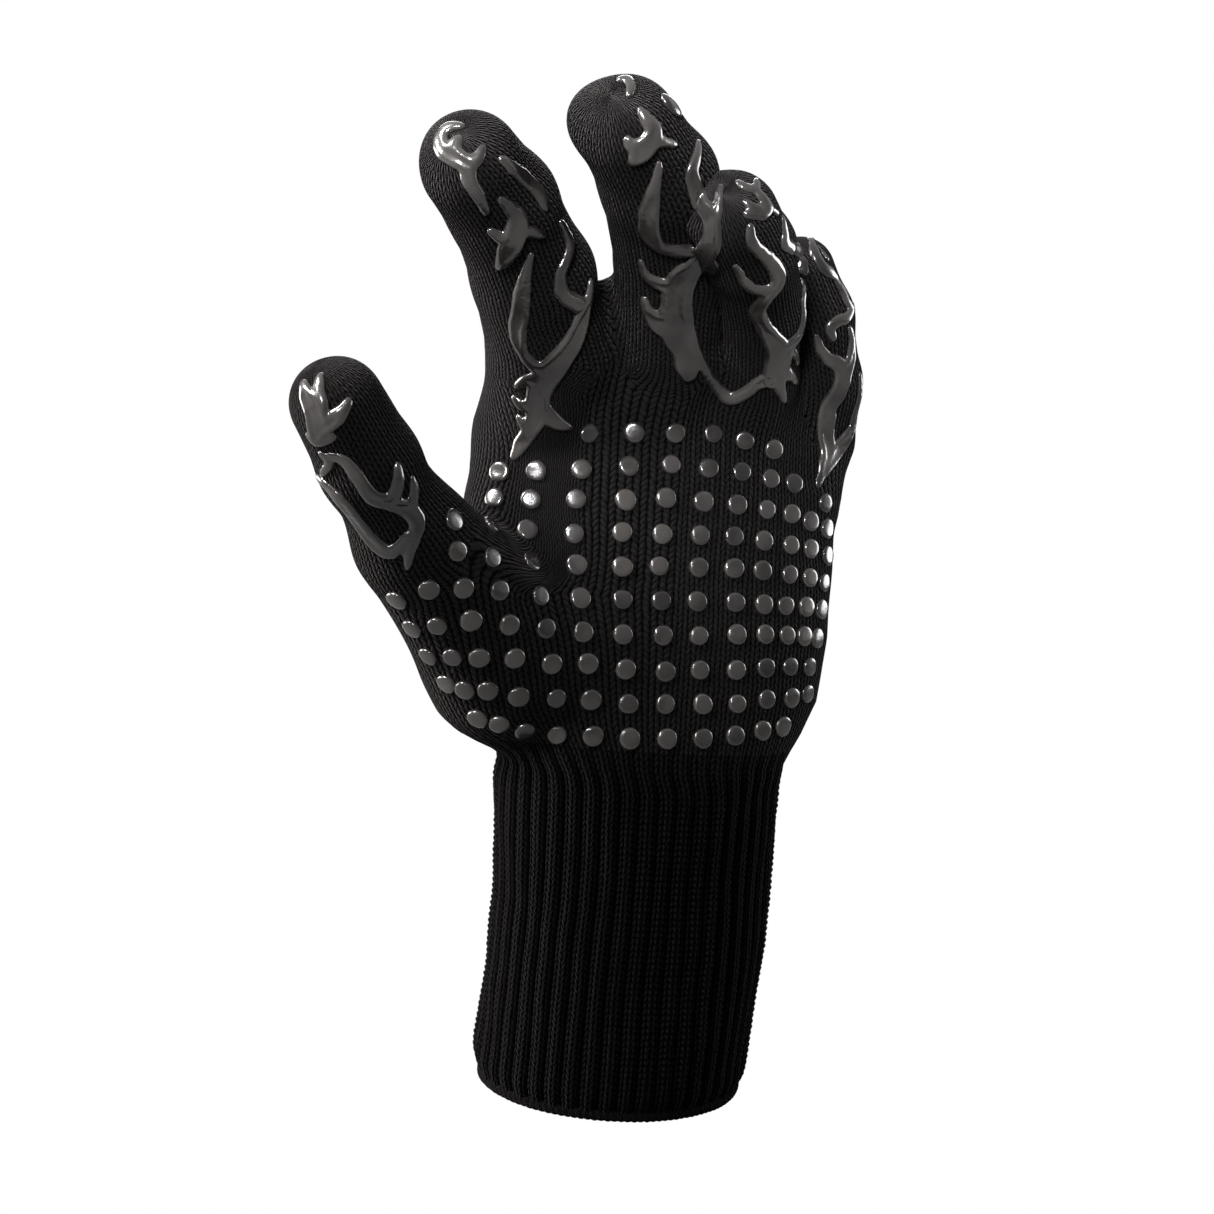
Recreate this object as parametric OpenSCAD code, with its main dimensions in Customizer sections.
// Heat resistant knitted glove for the left hand, in its worn shape.
// The hem stands on z = 0 with the fingers up, the palm faces -Y and the thumb is on the -X side.
// Knitted outer shell, cotton liner and moulded silicone grip prints.
// Each finger stall is divided where the hand inside it bends.

/* [Cuff] */
// Length of the rib cuff, from the hem to the wrist crease
cuff_len = 94; // [88:1:100]
// Half width of the cuff at the hem, outside
hem_half_width = 40; // [38:0.5:42]
// Half depth of the cuff at the hem, outside
hem_half_depth = 33; // [30:0.5:35]
// Half depth of the cuff at the wrist, outside
wrist_half_depth = 28.5; // [27:0.5:30]
// Height of the overlocked hem binding
hem_h = 4; // [3:0.5:6]

/* [Fabric] */
// Thickness of the knitted outer shell
shell_t = 1.6; // [1.2:0.1:2]
// Thickness of the cotton liner
liner_t = 1.0; // [0.6:0.1:1.2]
// Air between the shell and the liner
liner_gap = 0.25; // [0.2:0.05:0.4]
// Gap between two shell segments at a bending line
seam_gap = 0.35; // [0.3:0.05:0.6]

/* [Silicone] */
// Height of the silicone prints
print_h = 1.0; // [0.6:0.1:1.4]
// Diameter of a grip dot
dot_d = 5.6; // [4.5:0.1:6.5]
// Distance between dot rows
dot_row = 8.8; // [8.6:0.05:8.9]
// Distance between dots along a row, measured on the fabric
dot_col = 10.5; // [10.2:0.1:10.8]
// Height of the lowest dot row
dot_z0 = 102.2; // [101.5:0.1:102.5]

/* [Index finger] */
// Centre of the bending line at the root
index_root = [-38.6, -14.3, 200.0]; // [-250:0.1:250]
// Lengths of the three segments
index_len = [26, 26, 16]; // [12:0.5:32]
// Lean of each segment towards the palm side, degrees
index_lean = [43, 49, 51]; // [0:1:80]
// Splay of each segment towards the little finger, degrees
index_splay = [-31, -47, -58]; // [-80:1:30]
// Radius at the root, middle joint, end joint and tip
index_radii = [12.6, 12.0, 11.4, 10.8]; // [9:0.1:13]

/* [Middle finger] */
// Centre of the bending line at the root
middle_root = [-7.6, -15.0, 203.9]; // [-250:0.1:250]
// Lengths of the three segments
middle_len = [28, 30, 17]; // [12:0.5:32]
// Lean of each segment towards the palm side, degrees
middle_lean = [41, 50, 47]; // [0:1:80]
// Splay of each segment towards the little finger, degrees
middle_splay = [-22, -46, -52]; // [-80:1:30]
// Radius at the root, middle joint, end joint and tip
middle_radii = [12.2, 11.5, 10.9, 10.5]; // [9:0.1:13]

/* [Ring finger] */
// Centre of the bending line at the root
ring_root = [19.2, -12.7, 200.4]; // [-250:0.1:250]
// Lengths of the three segments
ring_len = [24.5, 26.5, 15]; // [12:0.5:32]
// Lean of each segment towards the palm side, degrees
ring_lean = [46, 55, 51]; // [0:1:80]
// Splay of each segment towards the little finger, degrees
ring_splay = [-24, -47, -56]; // [-80:1:30]
// Radius at the root, middle joint, end joint and tip
ring_radii = [11.1, 10.6, 10.1, 9.8]; // [9:0.1:13]

/* [Little finger] */
// Centre of the bending line at the root
little_root = [44.8, 2.2, 186.1]; // [-250:0.1:250]
// Lengths of the three segments
little_len = [18, 20.5, 13]; // [12:0.5:32]
// Lean of each segment towards the palm side, degrees
little_lean = [27, 29, 20]; // [0:1:80]
// Splay of each segment towards the little finger, degrees
little_splay = [-9, -23, -33]; // [-80:1:30]
// Radius at the root, middle joint, end joint and tip
little_radii = [10.5, 10.1, 9.7, 9.3]; // [9:0.1:13]

/* [Thumb] */
// Centre of the bending line at the root
thumb_root = [-72.0, -24.8, 147.3]; // [-250:0.1:250]
// Lengths of the two segments
thumb_len = [27, 17]; // [12:0.5:32]
// Lean of each segment towards the palm side, degrees
thumb_lean = [32, 27]; // [0:1:80]
// Splay of each segment towards the little finger, degrees
thumb_splay = [-37, -34]; // [-80:1:30]
// Radius at the root, end joint and tip
thumb_radii = [12.6, 11.8, 10.9]; // [9:0.1:13]

/* [Bending ranges] */
// Wrist bend each way, degrees
wrist_range = 18; // [12:1:18]
// Root bend: back and forward, degrees
root_range = [10, 28]; // [4:1:30]
// Middle joint bend: back and forward, degrees
mid_range = [8, 40]; // [4:1:42]
// End joint bend: back and forward, degrees
end_range = [6, 25]; // [4:1:26]

/* [Hidden] */

knit_col = [0.05, 0.05, 0.055];
liner_col = [0.12, 0.12, 0.125];
silicone_col = [0.24, 0.235, 0.23];

// a layer is [outer face, inner face], both measured inwards from the outside of the shell
liner_outer = shell_t + liner_gap;
shell = [0, shell_t];
liner = [liner_outer, liner_outer + liner_t];

half_seam = seam_gap / 2;
slab_t = 0.02; // thin slabs that are hulled into the cuff and the palm

// ---- fingers ----
// columns of a finger record
ROOT = 0;
LENGTHS = 1;
LEANS = 2;
SPLAYS = 3;
RADII = 4;
PAD_X = 5;  // sideways turn of the pad, at the root joint and at the others
FLAMES = 6; // one row per segment: [width, height, foot from the joint, 1 or -1 to mirror]

index = [index_root, index_len, index_lean, index_splay, index_radii, [-0.18, -0.40],
  [[18, 16, 5.5, 1], [16, 15, 6, -1], [14, 16, 4.5, 1]]];
middle = [middle_root, middle_len, middle_lean, middle_splay, middle_radii, [-0.24, -0.38],
  [[18, 18, 5.5, -1], [16, 19, 6, 1], [14, 17, 4.5, -1]]];
ring = [ring_root, ring_len, ring_lean, ring_splay, ring_radii, [-0.25, -0.38],
  [[16, 14.5, 5.5, 1], [15, 15.5, 6, -1], [13, 15, 4.5, 1]]];
little = [little_root, little_len, little_lean, little_splay, little_radii, [0.30, 0.25],
  [[12, 9, 5, -1], [13, 10.5, 5, 1], [12, 13, 4, -1]]];
thumb = [thumb_root, thumb_len, thumb_lean, thumb_splay, thumb_radii, [-0.05, -0.05],
  [[17, 17, 6, -1], [15, 15, 6.5, 1]]];

bend_ranges = [root_range, mid_range, end_range]; // by joint, from the root
root_lap = 3;  // how far tubes and hand stubs start before the root joint
joint_lap = 6; // how far a tube runs past its other joints before it is trimmed

// ---- directions and frames ----
function unit(v) = v / norm(v);
function square_to(v, axis) = unit(v - (v * axis) * axis);

function bone_dir(finger, i) = let (lean = finger[LEANS][i], splay = finger[SPLAYS][i])
  [cos(lean) * sin(splay), -sin(lean), cos(lean) * cos(splay)];
function joint_at(finger, i) = i == 0
  ? finger[ROOT]
  : joint_at(finger, i - 1) + finger[LENGTHS][i - 1] * bone_dir(finger, i - 1);
// bending axis of a joint: square to the bone and to the way the pad faces
function hinge(finger, i) = let (
    j = min(i, 1),
    bone = bone_dir(finger, j),
    pad = square_to(unit([finger[PAD_X][j], -1, -0.1]), bone))
  cross(bone, pad);
// direction that splits the bend between two segments
function mid_dir(finger, i) = square_to(
  i == 0 ? bone_dir(finger, 0) : bone_dir(finger, i - 1) + bone_dir(finger, i),
  hinge(finger, i));
function is_last(finger, i) = i == len(finger[LENGTHS]) - 1;

module frame(origin, x, y, z) {
  multmatrix([
    [x[0], y[0], z[0], origin[0]],
    [x[1], y[1], z[1], origin[1]],
    [x[2], y[2], z[2], origin[2]],
    [0, 0, 0, 1]]) children();
}
// local Z along the segment, -Y out of its pad, X as near to the hinge as it can be
module on_segment(finger, i) {
  z = bone_dir(finger, i);
  x = square_to(hinge(finger, i), z);
  frame(joint_at(finger, i), x, cross(z, x), z) children();
}

// ---- joints ----
// cuts away all that lies past a joint (side 1) or before it (side -1), with a V for the bend:
// forward opens the palm side, back the other side
module joint_cut(finger, i, side, back, forward, reach = 18, half_width = 18) {
  axis = hinge(finger, i);
  up = mid_dir(finger, i);
  frame(joint_at(finger, i), cross(up, axis), up, axis)
    translate([0, 0, -half_width])
      linear_extrude(2 * half_width)
        polygon([
          [-reach, -side * (reach * tan(forward / 2) + half_seam)],
          [0, -side * half_seam],
          [reach, -side * (reach * tan(back / 2) + half_seam)],
          [reach, side * 2 * reach],
          [-reach, side * 2 * reach]]);
}
// trims the children to the joints of a segment, each bend opened by some extra degrees
module between_joints(finger, i, extra = 0) {
  near = bend_ranges[i];
  difference() {
    children();
    joint_cut(finger, i, -1, near[0] + extra, near[1] + extra);
    if (!is_last(finger, i)) {
      far = bend_ranges[i + 1];
      joint_cut(finger, i + 1, 1, far[0] + extra, far[1] + extra);
    }
  }
}
// side 1 trims the hand, side -1 the cuff
module wrist_cut(side) {
  reach = 60;
  half_width = 70;
  rise = reach * tan(wrist_range / 2) + half_seam;
  translate([-half_width, 0, cuff_len])
    rotate([90, 0, 90])
      linear_extrude(2 * half_width)
        polygon([
          [-reach, side * rise],
          [0, side * half_seam],
          [reach, side * rise],
          [reach, -side * reach],
          [-reach, -side * reach]]);
}

// ---- finger segments ----
function tip_arc(r, z, steps) =
  [for (k = steps) let (a = 90 * k / 10) [max(0, r * cos(a)), z + r * sin(a)]];

// one layer of a segment in its own frame: open tube, or domed at the fingertip
module tube(finger, i, layer) {
  r0 = finger[RADII][i];
  r1 = finger[RADII][i + 1];
  length = finger[LENGTHS][i];
  lap = i == 0 ? root_lap : joint_lap;
  taper = (r1 - r0) / length;
  start_r = r0 - taper * lap;
  end_r = r1 + taper * joint_lap;
  profile = is_last(finger, i)
    ? concat(
        [[start_r - layer[0], -lap]],
        tip_arc(r1 - layer[0], length, [0:10]),
        tip_arc(r1 - layer[1], length, [10:-1:0]),
        [[start_r - layer[1], -lap]])
    : [[start_r - layer[0], -lap], [end_r - layer[0], length + joint_lap],
       [end_r - layer[1], length + joint_lap], [start_r - layer[1], -lap]];
  rotate([0, 0, 37]) rotate_extrude($fn = 64) polygon(profile);
}
module segment(finger, i, layer) {
  between_joints(finger, i) on_segment(finger, i) tube(finger, i, layer);
}

// ---- flame prints ----
flame_lift = 0.15;     // gap under a finger print
palm_flame_lift = 0.3; // gap under a palm print
flame_clearance = 5;   // extra degrees kept clear at the joints

// outline of one tongue with a horn on either side, foot at the origin, for width 1 and height 1
// columns: start, two Bezier handles, end, number of steps
flame_curves = [
  [[0, 0], [0.30, 0.02], [0.50, 0.22], [0.46, 0.52], 5],
  [[0.46, 0.52], [0.44, 0.62], [0.30, 0.60], [0.26, 0.48], 4],
  [[0.26, 0.48], [0.22, 0.72], [0.16, 0.84], [0.02, 1.0], 5],
  [[0.02, 1.0], [0.06, 0.78], [-0.08, 0.66], [-0.16, 0.50], 5],
  [[-0.16, 0.50], [-0.22, 0.62], [-0.34, 0.74], [-0.46, 0.78], 4],
  [[-0.46, 0.78], [-0.42, 0.40], [-0.40, 0.06], [0, 0], 5]
];
// points of a curve without its end, which starts the next one
function bezier(c) = [for (k = [0:c[4] - 1]) let (t = k / c[4], u = 1 - t)
  u*u*u * c[0] + 3*u*u*t * c[1] + 3*u*t*t * c[2] + t*t*t * c[3]];
function flame(width, height, mirrored) =
  [for (c = flame_curves) for (p = bezier(c)) [mirrored * width * p[0], height * p[1]]];

module flame_print(finger, i) {
  row = finger[FLAMES][i];
  reach = max(finger[RADII][i], finger[RADII][i + 1]) + 6;
  between_joints(finger, i, flame_clearance)
    on_segment(finger, i)
      intersection() {
        translate([0, 0, row[2]])
          rotate([90, 0, 0])
            linear_extrude(reach) polygon(flame(row[0], row[1], row[3]));
        tube(finger, i, [-flame_lift - print_h, -flame_lift]);
      }
}

// ---- hand: lofted palm, ball of the thumb and five short finger roots ----
wrist_half_width = 40;
palm_top = 186;
// columns: height, centre x, centre y, half width, half depth
CENTRE_X = 1;
CENTRE_Y = 2;
HALF_WIDTH = 3;
HALF_DEPTH = 4;
palm_stations = [
  [cuff_len, 0.3, 0, wrist_half_width, wrist_half_depth],
  [103, -0.8, -0.5, 47, 26.5],
  [112, -1, -1, 50, 25],
  [130, -1.5, -2, 51.8, 23],
  [150, -2.3, -2, 52.8, 20.5],
  [170, -2.5, -1, 52.6, 18.5],
  [palm_top, -2.8, 0, 50.5, 16.5]
];
palm_power = 2.3; // superellipse exponent of the palm sections

// columns: finger, centre of its knuckle, radius there
knuckles = [
  [index, [-36.5, 0, 181], 15.2],
  [middle, [-8, 0, 184], 15.5],
  [ring, [20, 0.5, 182], 15],
  [little, [37.5, 1, 170], 13.5]
];
// balls that the base of the thumb is stretched over: [centre, radius]
thumb_ball_a = [[-44, -6, 118], 20];
thumb_ball_b = [[-24, -3, 122], 19];
thumb_root_ball = [thumb_root, thumb_radii[0]];

// lengths of the finger roots past the joint: outer solid, and the space cut from it
stub_len = 4;
stub_space_len = 9;
stub_disc_t = 0.1;

function power_sign(v) = sign(v) * pow(abs(v), 2 / palm_power);
function palm_point(angle, half_width, half_depth) =
  [half_width * power_sign(cos(angle)), half_depth * power_sign(sin(angle))];
module palm_oval(half_width, half_depth) {
  polygon([for (k = [0:47]) palm_point(k * 7.5, half_width, half_depth)]);
}
// the top slice also sinks by the inset, to close the palm with an even thickness
module palm_slice(s, inset) {
  translate([s[CENTRE_X], s[CENTRE_Y], s[0] - (s[0] == palm_top ? inset : 0)])
    linear_extrude(slab_t)
      palm_oval(s[HALF_WIDTH] - inset, s[HALF_DEPTH] - inset);
}
module palm_loft(inset) {
  for (k = [0:len(palm_stations) - 2])
    hull() {
      palm_slice(palm_stations[k], inset);
      palm_slice(palm_stations[k + 1], inset);
    }
}
module ball(centre, r) {
  translate(centre) sphere(r, $fn = 28);
}
module root_disc(finger, inset, z) {
  on_segment(finger, 0)
    translate([0, 0, z]) cylinder(r = finger[RADII][0] - inset, h = stub_disc_t, $fn = 28);
}
module finger_roots(inset, length) {
  for (k = knuckles)
    hull() {
      ball(k[1], k[2] - inset);
      root_disc(k[0], inset, -root_lap);
      root_disc(k[0], inset, length - stub_disc_t);
    }
  hull() {
    ball(thumb_ball_a[0], thumb_ball_a[1] - inset);
    ball(thumb_ball_b[0], thumb_ball_b[1] - inset);
    root_disc(thumb, inset, -root_lap);
    root_disc(thumb, inset, length - stub_disc_t);
  }
}
module hand_layer(layer) {
  inner = layer[1];
  difference() {
    union() {
      palm_loft(layer[0]);
      finger_roots(layer[0], stub_len);
    }
    for (finger = [index, middle, ring, little, thumb])
      joint_cut(finger, 0, 1, root_range[0], root_range[1], reach = 24, half_width = 13.2);
    palm_loft(inner);
    finger_roots(inner, stub_space_len);
    // opening at the wrist
    translate([0, 0, cuff_len - 8])
      linear_extrude(12)
        palm_oval(wrist_half_width - inner, wrist_half_depth - inner);
    wrist_cut(1);
  }
}

// ---- cuff ----
hem_overhang = 0.8;        // how far the binding stands out from the cuff
cuff_base = hem_h + 0.05;  // the cuff layers start just clear of the binding

module oval(half_width, half_depth) {
  polygon([for (k = [0:71])
    [half_width * cos(k * 5 + 2.5), half_depth * sin(k * 5 + 2.5)]]);
}
module cuff_solid(inset, z0, z1) {
  hull() {
    translate([0, 0, z0])
      linear_extrude(slab_t) oval(hem_half_width - inset, hem_half_depth - inset);
    translate([0, 0, z1 - slab_t])
      linear_extrude(slab_t) oval(wrist_half_width - inset, wrist_half_depth - inset);
  }
}
module cuff_layer(layer) {
  difference() {
    cuff_solid(layer[0], cuff_base, cuff_len);
    cuff_solid(layer[1], cuff_base - 0.5, cuff_len + 0.5);
    wrist_cut(-1);
  }
}

module cuff_hem_binding() {
  color(knit_col) difference() {
    linear_extrude(hem_h) oval(hem_half_width + hem_overhang, hem_half_depth + hem_overhang);
    translate([0, 0, -1])
      linear_extrude(hem_h + 2) oval(hem_half_width - liner[1], hem_half_depth - liner[1]);
  }
}
module cuff_rib_knit() { color(knit_col) cuff_layer(shell); }
module cuff_liner() { color(liner_col) cuff_layer(liner); }
module hand_knit() { color(knit_col) hand_layer(shell); }
module hand_liner() { color(liner_col) hand_layer(liner); }

// ---- grip dots: rows up the palm, spaced along the fabric from a middle column ----
mid_x = -5.4; // where the middle column runs
// dots on either side of the middle column, row by row from the wrist
thumb_side_dots = [6, 6, 7, 7, 6, 4, 4, 4, 4, 2];
little_side_dots = [4, 5, 5, 6, 6, 6, 6, 5, 4, 3];
section_dot_lift = 0.75; // base of a dot above the palm section
front_dot_lift = 0.9;    // base of a dot above the highest fabric under it
max_bulge = 2.5;         // a dot is left out where the fabric under it bulges this much
off_fabric = 99;         // y given where there is no fabric
fabric_back = 20;        // y that is past all fabric
arc_steps = 90;

// width, depth or centre of the palm section at a height
function palm_at(z, column) = lookup(z, [for (s = palm_stations) [s[0], s[column]]]);
// horizontal direction along the fabric, square to its normal
function tangent(normal) = unit(cross([0, 0, 1], normal));

module dot(point, normal, lift) {
  x = tangent(normal);
  frame(point + lift * normal, x, cross(normal, x), normal)
    cylinder(d = dot_d, h = print_h, $fn = 32);
}

// rows of [length along the palm section from its middle, angle], over the palm side
function arc_table(z) = let (
    angles = [for (k = [0:arc_steps]) -178 + 176 * k / arc_steps],
    points = [for (a = angles) palm_point(a, palm_at(z, HALF_WIDTH), palm_at(z, HALF_DEPTH))],
    lengths = [for (k = 0, sum = 0; k <= arc_steps;
      sum = sum + (k < arc_steps ? norm(points[k + 1] - points[k]) : 0), k = k + 1) sum],
    middle_len = lookup(-90, [for (k = [0:arc_steps]) [angles[k], lengths[k]]]))
  [for (k = [0:arc_steps]) [lengths[k] - middle_len, angles[k]]];

// dot on the palm section, at a fabric length from the middle of the section
module section_dot(z, length) {
  angle = lookup(length, arc_table(z));
  half_width = palm_at(z, HALF_WIDTH);
  half_depth = palm_at(z, HALF_DEPTH);
  here = palm_point(angle, half_width, half_depth);
  step = palm_point(angle + 1, half_width, half_depth) - here;
  dot([palm_at(z, CENTRE_X) + here[0], palm_at(z, CENTRE_Y) + here[1], z],
    unit([step[1], -step[0], 0]), section_dot_lift);
}

// y of the palm side at x and z: of a tapered bar between two balls, of the palm, of both
function bar_y(x, z, from, to) = min([for (k = [0:16]) let (
    t = k / 16,
    centre = from[0] + t * (to[0] - from[0]),
    r = from[1] + t * (to[1] - from[1]),
    y_squared = r * r - pow(x - centre[0], 2) - pow(z - centre[2], 2))
  y_squared > 0 ? centre[1] - sqrt(y_squared) : off_fabric]);
function palm_y(x, z) = let (u = abs(x - palm_at(z, CENTRE_X)) / palm_at(z, HALF_WIDTH))
  u < 1
    ? palm_at(z, CENTRE_Y) - palm_at(z, HALF_DEPTH) * pow(1 - pow(u, palm_power), 1 / palm_power)
    : off_fabric;
function front_y(x, z) = min(
  palm_y(x, z),
  bar_y(x, z, thumb_ball_a, thumb_ball_b),
  bar_y(x, z, thumb_ball_a, thumb_root_ball),
  bar_y(x, z, thumb_ball_b, thumb_root_ball));
// walks towards -X along the fabric until the length is used up
function walk(x, z, length) = length <= 0 ? x : let (
    step = min(1.5, length),
    slope = (front_y(x - 0.2, z) - front_y(x + 0.2, z)) / 0.4)
  walk(x - step / sqrt(1 + slope * slope), z, length - step);

// dot on the thumb side, at a fabric length from the middle column
module front_dot(z, length) {
  x = walk(mid_x, z, length);
  y = front_y(x, z);
  if (y < fabric_back && front_y(x - 2, z) < fabric_back) {
    slope_x = (front_y(x + 0.4, z) - front_y(x - 0.4, z)) / 0.8;
    slope_z = (front_y(x, z + 0.4) - front_y(x, z - 0.4)) / 0.8;
    normal = unit([slope_x, -1, slope_z]);
    u = tangent(normal);
    v = cross(normal, u);
    // how far the fabric stands above the flat base of the dot
    bulge = max([for (k = [0:15], ratio = [0.5, 1]) let (
        a = k * 22.5,
        q = [x, y, z] + ratio * dot_d / 2 * (cos(a) * u + sin(a) * v))
      (q[1] - front_y(q[0], q[2])) * -normal[1]]);
    if (bulge < max_bulge) dot([x, y, z], normal, max(0, bulge) + front_dot_lift);
  }
}
module palm_grip_dots() {
  color(silicone_col)
    for (i = [0:len(thumb_side_dots) - 1]) let (z = dot_z0 + i * dot_row) {
      for (j = [0:little_side_dots[i]])
        section_dot(z, j * dot_col + mid_x - palm_at(z, CENTRE_X));
      for (j = [1:thumb_side_dots[i]])
        front_dot(z, j * dot_col);
    }
}

// ---- palm flames, beside the top dot row ----
palm_flame_z = 177;
palm_flame_h = 8.8;
// columns: x of the foot, width, 1 or -1 to mirror
palm_flames = [[-43, 10, 1], [38, 9, -1]];

module palm_flame_print() {
  color(silicone_col) difference() {
    intersection() {
      palm_loft(-palm_flame_lift - print_h);
      for (row = palm_flames)
        translate([row[0], 0, palm_flame_z])
          rotate([90, 0, 0])
            linear_extrude(40) polygon(flame(row[1], palm_flame_h, row[2]));
    }
    palm_loft(-palm_flame_lift);
    finger_roots(-palm_flame_lift, stub_space_len);
  }
}

// ---- finger pieces, segments counted from the root ----
module thumb_proximal_knit() { color(knit_col) segment(thumb, 0, shell); }
module thumb_proximal_liner() { color(liner_col) segment(thumb, 0, liner); }
module thumb_proximal_print() { color(silicone_col) flame_print(thumb, 0); }
module thumb_distal_knit() { color(knit_col) segment(thumb, 1, shell); }
module thumb_distal_liner() { color(liner_col) segment(thumb, 1, liner); }
module thumb_distal_print() { color(silicone_col) flame_print(thumb, 1); }

module index_proximal_knit() { color(knit_col) segment(index, 0, shell); }
module index_proximal_liner() { color(liner_col) segment(index, 0, liner); }
module index_proximal_print() { color(silicone_col) flame_print(index, 0); }
module index_middle_knit() { color(knit_col) segment(index, 1, shell); }
module index_middle_liner() { color(liner_col) segment(index, 1, liner); }
module index_middle_print() { color(silicone_col) flame_print(index, 1); }
module index_distal_knit() { color(knit_col) segment(index, 2, shell); }
module index_distal_liner() { color(liner_col) segment(index, 2, liner); }
module index_distal_print() { color(silicone_col) flame_print(index, 2); }

module middle_proximal_knit() { color(knit_col) segment(middle, 0, shell); }
module middle_proximal_liner() { color(liner_col) segment(middle, 0, liner); }
module middle_proximal_print() { color(silicone_col) flame_print(middle, 0); }
module middle_middle_knit() { color(knit_col) segment(middle, 1, shell); }
module middle_middle_liner() { color(liner_col) segment(middle, 1, liner); }
module middle_middle_print() { color(silicone_col) flame_print(middle, 1); }
module middle_distal_knit() { color(knit_col) segment(middle, 2, shell); }
module middle_distal_liner() { color(liner_col) segment(middle, 2, liner); }
module middle_distal_print() { color(silicone_col) flame_print(middle, 2); }

module ring_proximal_knit() { color(knit_col) segment(ring, 0, shell); }
module ring_proximal_liner() { color(liner_col) segment(ring, 0, liner); }
module ring_proximal_print() { color(silicone_col) flame_print(ring, 0); }
module ring_middle_knit() { color(knit_col) segment(ring, 1, shell); }
module ring_middle_liner() { color(liner_col) segment(ring, 1, liner); }
module ring_middle_print() { color(silicone_col) flame_print(ring, 1); }
module ring_distal_knit() { color(knit_col) segment(ring, 2, shell); }
module ring_distal_liner() { color(liner_col) segment(ring, 2, liner); }
module ring_distal_print() { color(silicone_col) flame_print(ring, 2); }

module little_proximal_knit() { color(knit_col) segment(little, 0, shell); }
module little_proximal_liner() { color(liner_col) segment(little, 0, liner); }
module little_proximal_print() { color(silicone_col) flame_print(little, 0); }
module little_middle_knit() { color(knit_col) segment(little, 1, shell); }
module little_middle_liner() { color(liner_col) segment(little, 1, liner); }
module little_middle_print() { color(silicone_col) flame_print(little, 1); }
module little_distal_knit() { color(knit_col) segment(little, 2, shell); }
module little_distal_liner() { color(liner_col) segment(little, 2, liner); }
module little_distal_print() { color(silicone_col) flame_print(little, 2); }

cuff_hem_binding();
cuff_rib_knit();
cuff_liner();
hand_knit();
hand_liner();
palm_grip_dots();
palm_flame_print();
thumb_proximal_knit();
thumb_proximal_liner();
thumb_proximal_print();
thumb_distal_knit();
thumb_distal_liner();
thumb_distal_print();
index_proximal_knit();
index_proximal_liner();
index_proximal_print();
index_middle_knit();
index_middle_liner();
index_middle_print();
index_distal_knit();
index_distal_liner();
index_distal_print();
middle_proximal_knit();
middle_proximal_liner();
middle_proximal_print();
middle_middle_knit();
middle_middle_liner();
middle_middle_print();
middle_distal_knit();
middle_distal_liner();
middle_distal_print();
ring_proximal_knit();
ring_proximal_liner();
ring_proximal_print();
ring_middle_knit();
ring_middle_liner();
ring_middle_print();
ring_distal_knit();
ring_distal_liner();
ring_distal_print();
little_proximal_knit();
little_proximal_liner();
little_proximal_print();
little_middle_knit();
little_middle_liner();
little_middle_print();
little_distal_knit();
little_distal_liner();
little_distal_print();
